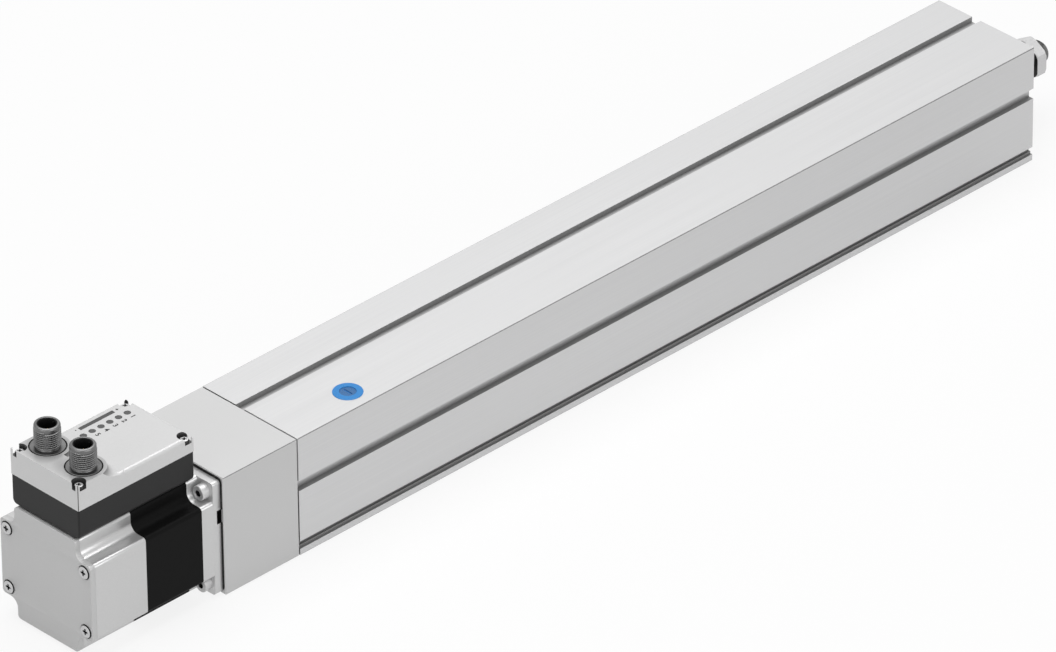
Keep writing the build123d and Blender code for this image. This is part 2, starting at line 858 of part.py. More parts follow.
def make_rear_cover_screws():
    seat = motor_rear + rear_screw_head_height
    head_rear = motor_rear - rear_screw_proud
    reach = rear_plate - rear_screw_head_height + rear_screw_grip - edge_break
    screws = []
    for y, z in four_corners(rear_screw_offset_y, rear_screw_offset_z):
        head = span_x(head_rear, seat, rear_screw_head / 2, y, z)
        head = chamfer(head.edges().group_by(Axis.X)[0], edge_break)
        slot = Box(cross_depth * 2, rear_screw_head * socket_share, rear_screw_cross)
        drive = Pos(head_rear, y, z) * (slot + Rot(90, 0, 0) * slot)
        screws.append(head + span_x(seat, seat + reach, rear_screw_diameter / 2, y, z) - drive)
    return group(screws)


def make_motor_bearing_outers():
    outer = motor_bearing_outside / 2
    half_width = motor_bearing_width / 2
    return group([ring_x(x - half_width, x + half_width, outer, outer - motor_bearing_race)
                  for x in motor_bearing_centres()])


def make_motor_bearing_inners():
    outer = motor_bearing_outside / 2 - motor_bearing_race - motor_bearing_ball - running_clearance
    half_width = motor_bearing_width / 2
    return group([ring_x(x - half_width, x + half_width, outer, shaft_radius)
                  for x in motor_bearing_centres()])


def make_motor_shaft():
    return span_x(housing_rear + shaft_rear_gap, hub_motor_front, shaft_radius)


def make_motor_rotor():
    rotor_rear = stator_rear + rotor_end_gap
    rotor_front = flange_rear - rotor_end_gap
    return ring_x(rotor_rear, rotor_front, rotor_diameter / 2, shaft_radius)


def make_encoder_board():
    start = housing_rear + encoder_step
    return ring_x(start, start + encoder_thickness, motor_cavity / 2, encoder_hole / 2)


# Electronics box

def box_screws():
    """Screw axes of the electronics cover, with the height of the surface above each."""
    y = box_half - box_screw_inset_y
    rear = box_rear + box_screw_inset_x
    front = box_front - box_screw_inset_x
    return [(rear, -y, deck_top), (rear, y, deck_top), (front, -y, console_top), (front, y, console_top)]


def box_block(inset, low, high):
    """A block of the box's plan, drawn in by an inset."""
    return block(box_rear + inset, box_front - inset, inset - box_half, box_half - inset, low, high)


def make_electronics_base():
    body = box_block(0, base_bottom, base_top)
    lower = body.faces().sort_by(Axis.Z)[0].edges().filter_by(Axis.X)
    body = fillet(lower, base_edge)
    upright = body.edges().filter_by(Axis.Z)
    body = fillet(upright, box_corner)
    hollow = box_block(box_wall, board_bottom, base_top + cut_through)
    hollow += box_block(box_wall + base_ledge, base_bottom + floor_thickness, base_top)
    for x, y, top in box_screws():
        hollow -= span_z(base_bottom, base_top + cut_through * 2, box_post / 2, x, y)
    body -= hollow
    for x, y, top in box_screws():
        body -= span_z(base_top - box_screw_grip, base_top + cut_through, box_screw_diameter / 2, x, y)
    body -= span_z(base_bottom - cut_through, base_top, cable_hole / 2, cable_x())
    return body - make_cover_seal()


def make_base_gasket():
    front = box_front - base_gasket_inset
    width = ear_half - base_gasket_width
    body = block(housing_rear, front, -width, width, motor_half, base_bottom)
    hole_rear = housing_rear + base_gasket_width
    hole_front = front - base_gasket_width
    hole_width = width - base_gasket_width
    return body - block(hole_rear, hole_front, -hole_width, hole_width, motor_half, base_bottom)


def make_control_board():
    inset = box_wall + board_clearance
    body = box_block(inset, board_bottom, board_top)
    post_hole = box_post / 2 + board_clearance
    for x, y, top in box_screws():
        body -= span_z(board_bottom - cut_through, board_top + cut_through, post_hole, x, y)
    for x, y in key_places():
        body += span_z(board_top - edge_break, switch_top, key_switch_diameter / 2, x, y)
    return body


def boss(side, lower, inset):
    """The round boss of one connector, with its concave foot on the console."""
    top = boss_top_radius - inset
    foot = boss_foot_radius - inset
    crown = deck_top - lower
    floor = console_top - lower
    middle = ((top * 3 + foot) / 4, (crown + floor * 3) / 4)
    slope = ThreePointArc((top, crown), middle, (foot, floor))
    sides = Polyline((foot, floor), (foot, base_top), (0, base_top), (0, crown), (top, crown))
    half_section = make_face(Plane.XZ * (slope + sides))
    return Pos(connector_x, side * connector_offset, 0) * revolve(half_section, Axis.Z)


def make_electronics_cover():
    body = box_block(0, base_top, console_top)
    body = fillet(body.faces().sort_by(Axis.Z)[-1].edges(), console_edge)
    deck = block(box_rear, connector_x, -box_half, box_half, base_top, deck_top)
    for side in (-1, 1):
        deck += boss(side, 0, 0)
    body += deck & box_block(0, base_top, deck_top)
    body -= cover_hollow()
    for x, y, top in box_screws():
        seat = top - box_screw_sink - box_screw_head_height
        body -= span_z(seat, deck_top + cut_through, box_screw_pocket / 2, x, y)
        body -= span_z(base_top - cut_through, deck_top, box_screw_diameter / 2, x, y)
    for side in (-1, 1):
        y = side * connector_offset
        body -= span_z(connector_seat, deck_top + cut_through, connector_recess / 2, connector_x, y)
        body -= span_z(base_top, deck_top, connector_diameter / 2, connector_x, y)
    for x, y in key_places():
        body -= span_z(base_top, deck_top, key_diameter / 2 + key_clearance, x, y)
    return body - window_block()


def cover_hollow():
    """The space under the console and the deck, clear of the screw posts."""
    hollow = box_block(box_wall, base_top - cut_through, console_ceiling)
    under_deck = block(box_rear, connector_x, -box_half, box_half, base_top, deck_ceiling)
    for side in (-1, 1):
        under_deck += boss(side, roof, box_wall)
    hollow += under_deck & box_block(box_wall, base_top, deck_ceiling)
    for x, y, top in box_screws():
        hollow -= span_z(base_top - cut_through * 2, deck_top, box_post / 2, x, y)
    return hollow


def make_cover_seal():
    """A square cord in a groove round the tray's rim."""
    outer = (box_wall - seal_width) / 2
    body = box_block(outer, base_top - seal_height, base_top)
    return body - box_block(outer + seal_width, base_top - seal_height * 2, base_top + cut_through)


def make_electronics_cover_screws():
    screws = []
    for x, y, top in box_screws():
        head_top = top - box_screw_sink
        grip = head_top - box_screw_head_height - base_top + box_screw_grip - cut_through
        screw = cross_screw(head_top, box_screw_head, box_screw_head_height, box_screw_diameter, grip)
        screws.append(Pos(x, y, 0) * Rot(0, 0, 45) * screw)
    return group(screws)


# Connectors

def make_connector_shell(side):
    y = side * connector_offset
    outer = connector_diameter / 2
    body = span_z(connector_seat - connector_stem, connector_top, outer, connector_x, y)
    body = chamfer(body.edges().group_by(Axis.Z)[-1], connector_chamfer)
    collar_top = connector_seat + connector_flange_height
    body += span_z(connector_seat, collar_top, connector_flange / 2, connector_x, y)
    return body - span_z(connector_seat - connector_stem - cut_through, connector_top + cut_through,
                         connector_opening / 2, connector_x, y)


def make_connector_inserts():
    radius = connector_opening / 2
    return group([span_z(insert_bottom, insert_top, radius, connector_x, side * connector_offset)
                  for side in (-1, 1)])


def make_connector_pins():
    pins = []
    for side in (-1, 1):
        for number in range(pin_count):
            angle = math.radians(45 + 360 * number / pin_count)
            x = connector_x + pin_circle / 2 * math.cos(angle)
            y = side * connector_offset + pin_circle / 2 * math.sin(angle)
            pins.append(span_z(insert_top, insert_top + pin_height, pin_diameter / 2, x, y))
    return group(pins)


def make_connector_o_rings():
    radius = (connector_recess - o_ring_thickness) / 2
    height = connector_seat + o_ring_thickness / 2
    rings = []
    for side in (-1, 1):
        ring = Torus(radius, o_ring_thickness / 2)
        rings.append(Pos(connector_x, side * connector_offset, height) * ring)
    return group(rings)


# Push buttons and window

def key_places():
    return [(box_front - key_from_front - number * key_pitch, key_offset) for number in range(key_count)]


def make_key(number):
    x, y = key_places()[number]
    stem = span_z(key_bottom, console_top - key_sink, key_diameter / 2, x, y)
    stem = fillet(stem.edges().group_by(Axis.Z)[-1], key_edge)
    return stem + span_z(key_bottom, key_flange_top, key_flange_diameter / 2, x, y)


def window_block():
    """The level window, which fills its own slot in the console."""
    end = box_front - window_from_front
    side = window_offset - window_width / 2
    bottom = console_top - window_height
    return block(end - window_length, end, side, side + window_width, bottom, console_top)


nodes = {
    "profile": make_profile,
    "vent_plug": make_vent_plug,
    "vent_filter": make_vent_filter,
    "drive_cover": make_drive_cover,
    "profile_gasket": make_profile_gasket,
    "motor_gasket": make_motor_gasket,
    "cover_screws": make_cover_screws,
    "screw_bearing_outer": make_screw_bearing_outer,
    "screw_bearing_inner": make_screw_bearing_inner,
    "bearing_balls": make_bearing_balls,
    "bearing_retainer": make_bearing_retainer,
    "screw_lock_nut": make_screw_lock_nut,
    "screw_shaft": make_screw_shaft,
    "screw_tip_ring": make_screw_tip_ring,
    "coupling_hub_motor": make_coupling_hub_motor,
    "coupling_hub_screw": make_coupling_hub_screw,
    "coupling_spider": make_coupling_spider,
    "piston_rod": make_piston_rod,
    "rod_end": make_rod_end,
    "rod_nut": make_rod_nut,
    "ball_nut": make_ball_nut,
    "ball_train": make_ball_train,
    "nut_carrier": make_nut_carrier,
    "guide_ring": make_guide_ring,
    "position_magnet": make_position_magnet,
    "bumpers": make_bumpers,
    "front_cap": make_front_cap,
    "rod_bush": make_rod_bush,
    "rod_wiper": make_rod_wiper,
    "retaining_ring": make_retaining_ring,
    "motor_flange": make_motor_flange,
    "motor_screws": make_motor_screws,
    "motor_stator": make_motor_stator,
    "stator_windings": make_stator_windings,
    "motor_housing": make_motor_housing,
    "motor_rear_cover": make_motor_rear_cover,
    "rear_cover_screws": make_rear_cover_screws,
    "motor_bearing_outers": make_motor_bearing_outers,
    "motor_bearing_inners": make_motor_bearing_inners,
    "motor_shaft": make_motor_shaft,
    "motor_rotor": make_motor_rotor,
    "encoder_board": make_encoder_board,
    "electronics_base": make_electronics_base,
    "base_gasket": make_base_gasket,
    "control_board": make_control_board,
    "electronics_cover": make_electronics_cover,
    "cover_seal": make_cover_seal,
    "electronics_cover_screws": make_electronics_cover_screws,
    "connector_inserts": make_connector_inserts,
    "connector_pins": make_connector_pins,
    "connector_o_rings": make_connector_o_rings,
    "level_window": window_block,
}

os.makedirs("parts", exist_ok=True)
for name, make in nodes.items():
    export_step(make(), f"parts/{name}.step")
for name, side in (("left", 1), ("right", -1)):
    export_step(make_connector_shell(side), f"parts/connector_shell_{name}.step")
for number in range(key_count):
    export_step(make_key(number), f"parts/key_{number + 1}.step")
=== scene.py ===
import json
import math

import bmesh
import bpy
from mathutils import Euler, Matrix, Vector

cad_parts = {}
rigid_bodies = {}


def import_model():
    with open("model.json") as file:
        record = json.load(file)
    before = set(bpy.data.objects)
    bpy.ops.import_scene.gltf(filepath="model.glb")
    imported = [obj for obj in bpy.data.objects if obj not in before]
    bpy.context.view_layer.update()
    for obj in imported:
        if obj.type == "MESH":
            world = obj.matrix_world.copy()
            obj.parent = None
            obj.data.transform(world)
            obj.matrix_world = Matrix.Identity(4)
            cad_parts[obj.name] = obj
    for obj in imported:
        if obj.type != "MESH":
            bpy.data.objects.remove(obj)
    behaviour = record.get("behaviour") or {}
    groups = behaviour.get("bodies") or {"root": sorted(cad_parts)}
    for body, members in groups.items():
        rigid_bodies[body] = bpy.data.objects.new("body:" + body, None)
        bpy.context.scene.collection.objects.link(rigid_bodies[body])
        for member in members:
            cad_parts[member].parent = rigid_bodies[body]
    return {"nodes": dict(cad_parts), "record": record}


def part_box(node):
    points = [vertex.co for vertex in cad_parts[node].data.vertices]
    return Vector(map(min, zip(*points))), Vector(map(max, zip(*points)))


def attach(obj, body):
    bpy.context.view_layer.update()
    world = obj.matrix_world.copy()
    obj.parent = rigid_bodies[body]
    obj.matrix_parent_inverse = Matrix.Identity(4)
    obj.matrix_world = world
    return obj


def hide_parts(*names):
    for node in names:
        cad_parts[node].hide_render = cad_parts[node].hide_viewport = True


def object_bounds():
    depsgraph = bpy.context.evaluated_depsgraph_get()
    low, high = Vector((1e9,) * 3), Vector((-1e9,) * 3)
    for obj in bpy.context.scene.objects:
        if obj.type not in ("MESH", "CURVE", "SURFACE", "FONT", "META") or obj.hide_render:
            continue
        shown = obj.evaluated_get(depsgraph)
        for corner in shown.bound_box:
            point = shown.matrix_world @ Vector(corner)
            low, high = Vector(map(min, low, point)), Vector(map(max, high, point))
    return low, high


# Electric cylinder: profile, drive cover, motor with its electronics box, and the piston rod's end.
# Metres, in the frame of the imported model: +X is the way the rod extends, +Z is up.

for leftover in list(bpy.data.objects):
    bpy.data.objects.remove(leftover)

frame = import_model()
cad_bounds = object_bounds()

MM = 0.001

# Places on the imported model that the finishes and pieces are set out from
PROFILE_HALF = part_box("profile")[1].y
BOX_LOW, BOX_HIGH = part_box("electronics_cover")
BOX_MIDDLE = (BOX_LOW.x + BOX_HIGH.x) / 2
BOX_HALF_LENGTH = (BOX_HIGH.x - BOX_LOW.x) / 2
BOX_HALF_WIDTH = BOX_HIGH.y
CONSOLE_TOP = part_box("level_window")[1].z
SLOT_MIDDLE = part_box("motor_gasket")[0].x - 0.85 * MM

# Limits of the places where shade and dark edge lines are painted into the colour, where a span runs from the
# light end to the dark one
SKIN = 0.1 * MM
SCREW_TOP = 0.2 * MM
EDGE_LINE = 0.34 * MM
CORNER_SHADE_LINE = 0.28 * MM
TOP_GROOVE = (5.6 * MM, 8.9 * MM)
SIDE_GROOVE = (6.4 * MM, 3.1 * MM)
SIDE_GROOVE_DEPTH = 2.8 * MM
SLOT_RISE = 10.6 * MM
SLOT_HALF_WIDTH = 1.5 * MM
SLOT_HALF_HEIGHT = 3.55 * MM
SLOT_FLOOR = 25.5 * MM
SLOT_MOUTH = 28.52 * MM
BOSS_FROM_REAR = 8.0 * MM
BOSS_FOOT = 0.3 * MM
BOSS_TOP = 0.8 * MM
CONNECTOR_SHADE = (14.0 * MM, 8.4 * MM)
POCKET_INSET_X = 3.0 * MM
POCKET_INSET_Y = 2.6 * MM
POCKET_RADIUS = 3.23 * MM
MOTOR_SCREW_OFFSET = 23.57 * MM
SOCKET_RADIUS = 1.85 * MM

# Sizes of the finer pieces
WELD = 0.001 * MM
CONNECTOR_BORE = 4.4 * MM
CONNECTOR_SEAT = 6.0 * MM
CONNECTOR_PITCH = 1.0 * MM
M12_RADIUS = 6.0 * MM
PIN_RADIUS = 0.5 * MM
PIN_CIRCLE = 2.7 * MM
ROD_SHOULDER = 13.0 * MM
ROD_PITCH = 1.25 * MM
FIGURE_HEIGHT = 2.5 * MM
SIGN_HEIGHT = 1.9 * MM
FIGURE_SHARE_OF_TYPE = 0.7
INK_THICKNESS = 0.015 * MM
INK_BOLDNESS = 0.09 * MM


# Finishes

def new_finish(name, colour, metallic, roughness):
    """A material with its shader, and the object's own coordinates."""
    finish = bpy.data.materials.new(name)
    finish.use_nodes = True
    tree = finish.node_tree
    shader = tree.nodes["Principled BSDF"]
    shader.inputs["Base Color"].default_value = (*colour, 1)
    shader.inputs["Metallic"].default_value = metallic
    shader.inputs["Roughness"].default_value = roughness
    place = tree.nodes.new("ShaderNodeTexCoord")
    return finish, tree, shader, place.outputs["Object"]


def stretched(tree, place, stretch):
    """Coordinates scaled differently along each axis."""
    mapping = tree.nodes.new("ShaderNodeMapping")
    mapping.inputs["Scale"].default_value = stretch
    tree.links.new(place, mapping.inputs["Vector"])
    return mapping.outputs["Vector"]


def grain(tree, vector, scale, detail=3.0, rough=0.55):
    """A fine noise."""
    noise = tree.nodes.new("ShaderNodeTexNoise")
    noise.inputs["Scale"].default_value = scale
    noise.inputs["Detail"].default_value = detail
    noise.inputs["Roughness"].default_value = rough
    tree.links.new(vector, noise.inputs["Vector"])
    return noise.outputs["Fac"]


def spread(tree, value, low, high, into, start=0.3, end=0.7):
    """A value between 0 and 1 moved to a range and led into a socket."""
    remap = tree.nodes.new("ShaderNodeMapRange")
    remap.inputs["From Min"].default_value = start
    remap.inputs["From Max"].default_value = end
    remap.inputs["To Min"].default_value = low
    remap.inputs["To Max"].default_value = high
    tree.links.new(value, remap.inputs["Value"])
    tree.links.new(remap.outputs["Result"], into)


def tint(tree, value, dark, light, into, start=0.3, end=0.7):
    """A colour that runs between two by a value."""
    ramp = tree.nodes.new("ShaderNodeValToRGB")
    ramp.color_ramp.elements[0].position = start
    ramp.color_ramp.elements[0].color = (*dark, 1)
    ramp.color_ramp.elements[1].position = end
    ramp.color_ramp.elements[1].color = (*light, 1)
    tree.links.new(value, ramp.inputs["Fac"])
    tree.links.new(ramp.outputs["Color"], into)


def relief(tree, value, strength, height, shader):
    """Fine relief from a value."""
    bump = tree.nodes.new("ShaderNodeBump")
    bump.inputs["Strength"].default_value = strength
    bump.inputs["Distance"].default_value = height
    tree.links.new(value, bump.inputs["Height"])
    tree.links.new(bump.outputs["Normal"], shader.inputs["Normal"])


def grey(level, blue=0.0):
    """A neutral colour, or one that leans to blue."""
    return (level, level, level + blue)


def arithmetic(tree, operation, first, second=0.0):
    """One step of arithmetic on two values, each a number or a socket."""
    step = tree.nodes.new("ShaderNodeMath")
    step.operation = operation
    for socket, value in zip(step.inputs, (first, second)):
        if isinstance(value, (int, float)):
            socket.default_value = value
        else:
            tree.links.new(value, socket)
    return step.outputs["Value"]


def magnitude(tree, value):
    return arithmetic(tree, "ABSOLUTE", value)


def minus(tree, value, amount):
    return arithmetic(tree, "SUBTRACT", value, amount)


def above(tree, value, limit):
    return arithmetic(tree, "GREATER_THAN", value, limit)


def below(tree, value, limit):
    return arithmetic(tree, "LESS_THAN", value, limit)


def product(tree, first, *others):
    """Values multiplied, so that shares of 0 and 1 hold only where all of them do."""
    for other in others:
        first = arithmetic(tree, "MULTIPLY", first, other)
    return first


def along_axes(tree, place):
    """The place's x, y and z."""
    axes = tree.nodes.new("ShaderNodeSeparateXYZ")
    tree.links.new(place, axes.inputs["Vector"])
    return axes.outputs["X"], axes.outputs["Y"], axes.outputs["Z"]


def slope(tree, value, start, end):
    """0 before the start and 1 past the end, with a straight rise between."""
    remap = tree.nodes.new("ShaderNodeMapRange")
    remap.inputs["From Min"].default_value = start
    remap.inputs["From Max"].default_value = end
    tree.links.new(value, remap.inputs["Value"])
    return remap.outputs["Result"]


def from_axis(tree, first, second):
    """Distance from an axis, by the two distances across it."""
    squares = [arithmetic(tree, "POWER", distance, 2.0) for distance in (first, second)]
    return arithmetic(tree, "SQRT", arithmetic(tree, "ADD", *squares))


def darken(tree, shader, share, colour):
    """Another colour over the base colour, by a share between 0 and 1."""
    under = shader.inputs["Base Color"].links[0].from_socket
    mix = tree.nodes.new("ShaderNodeMix")
    mix.data_type = "RGBA"
    for socket in mix.inputs:
        if socket.name == "A" and socket.type == "RGBA":
            tree.links.new(under, socket)
        if socket.name == "B" and socket.type == "RGBA":
            socket.default_value = (*colour, 1)
        if socket.name == "Factor" and socket.type == "VALUE":
            tree.links.new(share, socket)
    for socket in mix.outputs:
        if socket.type == "RGBA":
            tree.links.new(socket, shader.inputs["Base Color"])


def profile_aluminium():
    """Extruded profile, brushed along its length and clear anodised, with painted shade in its grooves and a
    painted dark line along its long edges in place of their dark reflection.
    """
    finish, tree, shader, place = new_finish("profile_aluminium", grey(0.60), 0.45, 0.42)
    streaks = grain(tree, stretched(tree, place, (6, 1500, 1500)), 1.0, 4.0, 0.6)
    tint(tree, streaks, grey(0.585, 0.004), grey(0.625, 0.003), shader.inputs["Base Color"])
    spread(tree, streaks, 0.38, 0.47, shader.inputs["Roughness"])
    relief(tree, streaks, 0.1, 0.00004, shader)
    x, y, z = along_axes(tree, place)
    across = magnitude(tree, y)
    skin = arithmetic(tree, "MAXIMUM", across, magnitude(tree, z))
    inside = product(tree, below(tree, skin, PROFILE_HALF - SKIN), below(tree, x, -SKIN))
    # Painted shade inside the top and side grooves, deepening towards one wall
    darken(tree, shader, product(tree, inside, slope(tree, y, *TOP_GROOVE)), grey(0.27))
    at_side = above(tree, across, PROFILE_HALF - SIDE_GROOVE_DEPTH)
    darken(tree, shader, product(tree, inside, slope(tree, z, *SIDE_GROOVE), at_side), grey(0.27))
    # Painted dark line along the long edges, in place of their dark reflection
    darken(tree, shader, on_long_edges(tree, y, z), grey(0.2))
    return finish


def on_long_edges(tree, y, z):
    """The four long edges of the profile and the drive cover, where a dark line is painted in place of their
    dark reflection.
    """
    corner = arithmetic(tree, "MINIMUM", magnitude(tree, y), magnitude(tree, z))
    return above(tree, corner, PROFILE_HALF - EDGE_LINE)


def blasted_aluminium():
    """Machined block, glass-bead blasted and anodised, with a painted dark line at its long edges in place of
    their dark reflection, and painted shade in the side slots.
    """
    finish, tree, shader, place = new_finish("blasted_aluminium", grey(0.55), 0.35, 0.5)
    beads = grain(tree, place, 4200.0, 2.0)
    tint(tree, beads, grey(0.53), grey(0.565), shader.inputs["Base Color"])
    spread(tree, beads, 0.46, 0.54, shader.inputs["Roughness"])
    relief(tree, beads, 0.08, 0.00004, shader)
    x, y, z = along_axes(tree, place)
    # Painted dark line along the long edges, in place of their dark reflection
    darken(tree, shader, on_long_edges(tree, y, z), grey(0.2))
    # Painted shade inside the side slots
    darken(tree, shader, in_side_slots(tree, x, y, z), grey(0.01))
    return finish


def in_side_slots(tree, x, y, z):
    """Inside the slots in both sides of the motor flange, which stay in shade."""
    across = magnitude(tree, y)
    along = below(tree, magnitude(tree, minus(tree, x, SLOT_MIDDLE)), SLOT_HALF_WIDTH)
    level = below(tree, magnitude(tree, minus(tree, z, SLOT_RISE)), SLOT_HALF_HEIGHT)
    return product(tree, along, level, above(tree, across, SLOT_FLOOR), below(tree, across, SLOT_MOUTH))


def cast_aluminium():
    """Motor flange and housing: die cast, then machined and tumbled."""
    finish, tree, shader, place = new_finish("cast_aluminium", grey(0.57), 0.55, 0.3)
    skin = grain(tree, place, 1800.0, 3.0)
    tint(tree, skin, grey(0.555), grey(0.58), shader.inputs["Base Color"])
    spread(tree, skin, 0.29, 0.33, shader.inputs["Roughness"])
    relief(tree, skin, 0.02, 0.00002, shader)
    # Painted shade inside the flange's side slots
    darken(tree, shader, in_side_slots(tree, *along_axes(tree, place)), grey(0.01))
    return finish


def plate_aluminium():
    """Motor's rear plate: flat and finely blasted."""
    finish, tree, shader, place = new_finish("plate_aluminium", grey(0.53), 0.3, 0.5)
    beads = grain(tree, place, 3600.0, 2.0)
    tint(tree, beads, grey(0.515), grey(0.545), shader.inputs["Base Color"])
    spread(tree, beads, 0.46, 0.54, shader.inputs["Roughness"])
    relief(tree, beads, 0.06, 0.00004, shader)
    return finish


def cover_paint():
    """Electronics cover: die casting under satin light grey paint, with painted shade along its near upright
    corner, on the rise to the deck, about the connectors' feet and in the screw pockets.
    """
    finish, tree, shader, place = new_finish("cover_paint", grey(0.62), 0.2, 0.3)
    shader.inputs["Specular IOR Level"].default_value = 0.5
    peel = grain(tree, place, 1300.0, 2.0)
    tint(tree, peel, grey(0.61), grey(0.63), shader.inputs["Base Color"])
    spread(tree, peel, 0.28, 0.32, shader.inputs["Roughness"])
    relief(tree, peel, 0.01, 0.00001, shader)
    x, y, z = along_axes(tree, place)
    # Painted shade: a near-black line along the near upright corner
    rear = below(tree, x, BOX_LOW.x + CORNER_SHADE_LINE)
    side = below(tree, y, CORNER_SHADE_LINE - BOX_HALF_WIDTH)
    darken(tree, shader, product(tree, rear, side), grey(0.05))
    # Painted shade on the rise to the deck, painted shade and reflection about the connectors, and painted
    # shade in the screw pockets
    darken(tree, shader, product(tree, on_boss_slope(tree, x, y, z), 0.8), grey(0.12))
    darken(tree, shader, product(tree, about_connectors(tree, x, y, z), 0.5), grey(0.2))
    darken(tree, shader, in_screw_pockets(tree, x, y), grey(0.07))
    return finish


def on_boss_slope(tree, x, y, z):
    """The rise from the console to the deck, with painted shade that deepens towards its top."""
    inner = product(tree, below(tree, magnitude(tree, y), BOX_HALF_WIDTH - SKIN),
                    above(tree, x, BOX_LOW.x + BOSS_FROM_REAR))
    rising = slope(tree, z, CONSOLE_TOP + BOSS_FOOT, BOX_HIGH.z - BOSS_TOP)
    return product(tree, inner, rising, below(tree, z, BOX_HIGH.z - SKIN))


def about_connectors(tree, x, y, z):
    """The deck about the connectors' feet, with painted shade and dark reflection of the connectors that
    deepen towards them.
    """
    low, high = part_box("connector_shell_left")
    behind = minus(tree, x, (low.x + high.x) / 2)
    beside = minus(tree, magnitude(tree, y), (low.y + high.y) / 2)
    near = slope(tree, from_axis(tree, behind, beside), *CONNECTOR_SHADE)
    return product(tree, near, above(tree, z, BOX_HIGH.z - SKIN))


def in_screw_pockets(tree, x, y):
    """The four corner pockets, but not the cover's outer faces, where shade is painted."""
    from_middle = magnitude(tree, minus(tree, x, BOX_MIDDLE))
    aside = magnitude(tree, y)
    along = minus(tree, from_middle, BOX_HALF_LENGTH - POCKET_INSET_X)
    across = minus(tree, aside, BOX_HALF_WIDTH - POCKET_INSET_Y)
    near = below(tree, from_axis(tree, along, across), POCKET_RADIUS)
    lengthways = below(tree, from_middle, BOX_HALF_LENGTH - SKIN)
    return product(tree, near, lengthways, below(tree, aside, BOX_HALF_WIDTH - SKIN))


def black_paint():
    """Stator laminations, half a millimetre each, under matte black paint."""
    finish, tree, shader, place = new_finish("black_paint", grey(0.003), 0.0, 0.5)
    shader.inputs["Specular IOR Level"].default_value = 0.07
    sheets = tree.nodes.new("ShaderNodeTexWave")
    sheets.bands_direction = "X"
    sheets.inputs["Scale"].default_value = 628.0
    sheets.inputs["Distortion"].default_value = 0.4
    tree.links.new(place, sheets.inputs["Vector"])
    speck = grain(tree, place, 2600.0, 2.0)
    tint(tree, speck, grey(0.002), grey(0.004), shader.inputs["Base Color"])
    spread(tree, speck, 0.44, 0.56, shader.inputs["Roughness"])
    relief(tree, sheets.outputs["Fac"], 0.12, 0.00005, shader)
    return finish


def steel(name, level):
    """Ground rod, bearings and shafts; the rod's threaded end is darker."""
    finish, tree, shader, place = new_finish(name, grey(level), 1.0, 0.22)
    grinding = grain(tree, stretched(tree, place, (5200, 60, 60)), 1.0, 3.0)
    tint(tree, grinding, grey(level * 0.94), grey(level * 1.06), shader.inputs["Base Color"])
    spread(tree, grinding, 0.2, 0.27, shader.inputs["Roughness"])
    relief(tree, grinding, 0.04, 0.00002, shader)
    return finish


def zinc_steel(name, shade_mask=None):
    """Screws and the hexagon nut, bright zinc plated, with painted shade where a mask is given: in drive
    recesses, under heads and on the nut's rear face.
    """
    finish, tree, shader, place = new_finish(name, grey(0.58), 0.5, 0.36)
    plating = grain(tree, place, 900.0, 2.0)
    tint(tree, plating, grey(0.56, 0.006), grey(0.6), shader.inputs["Base Color"])
    spread(tree, plating, 0.33, 0.4, shader.inputs["Roughness"])
    relief(tree, plating, 0.01, 0.00001, shader)
    if shade_mask:
        # Painted shade where the mask holds
        darken(tree, shader, shade_mask(tree, *along_axes(tree, place)), grey(0.03))
    return finish


def on_nut_back(tree, x, y, z):
    """The nut's rear face, which stands in the shade of the profile."""
    return below(tree, x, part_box("rod_nut")[0].x + SKIN)


def below_plate_heads(tree, x, y, z):
    """In front of the rear screws' outer faces, where shade is painted."""
    return above(tree, x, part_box("rear_cover_screws")[0].x + SCREW_TOP)


def below_cover_heads(tree, x, y, z):
    """Under the tops of the electronics cover's screws, which stand higher on the deck; shade is painted
    there.
    """
    drop = product(tree, above(tree, x, BOX_MIDDLE), BOX_HIGH.z - CONSOLE_TOP)
    return below(tree, z, minus(tree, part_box("electronics_cover_screws")[1].z - SCREW_TOP, drop))


def in_flange_sockets(tree, x, y, z):
    """Inside the hexagon sockets of the motor's four screws, where shade is painted."""
    side = minus(tree, magnitude(tree, y), MOTOR_SCREW_OFFSET)
    up = minus(tree, magnitude(tree, z), MOTOR_SCREW_OFFSET)
    inside = below(tree, from_axis(tree, side, up), SOCKET_RADIUS)
    return product(tree, inside, above(tree, x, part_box("motor_screws")[0].x + SCREW_TOP))


def nickel_brass():
    """Connector shells: turned brass, nickel plated."""
    finish, tree, shader, place = new_finish("nickel_brass", grey(0.17), 1.0, 0.3)
    turning = grain(tree, stretched(tree, place, (90, 90, 6000)), 1.0, 3.0)
    tint(tree, turning, grey(0.13), grey(0.2), shader.inputs["Base Color"])
    spread(tree, turning, 0.3, 0.4, shader.inputs["Roughness"])
    relief(tree, turning, 0.05, 0.00003, shader)
    return finish


def plain_metal(name, dark, light, roughness):
    """Gold, bronze, copper and magnet parts inside."""
    finish, tree, shader, place = new_finish(name, light, 1.0, roughness)
    cloud = grain(tree, place, 1500.0)
    tint(tree, cloud, dark, light, shader.inputs["Base Color"])
    spread(tree, cloud, roughness * 0.85, roughness * 1.15, shader.inputs["Roughness"])
    relief(tree, cloud, 0.05, 0.00004, shader)
    return finish


def moulded(name, dark, light, roughness, scale, strength, shine):
    """Rubber and moulded plastics with a fine grain."""
    finish, tree, shader, place = new_finish(name, light, 0.0, roughness)
    shader.inputs["Specular IOR Level"].default_value = shine
    fine = grain(tree, place, scale)
    tint(tree, fine, dark, light, shader.inputs["Base Color"])
    spread(tree, fine, roughness * 0.88, roughness * 1.12, shader.inputs["Roughness"])
    relief(tree, fine, strength, 0.00005, shader)
    return finish


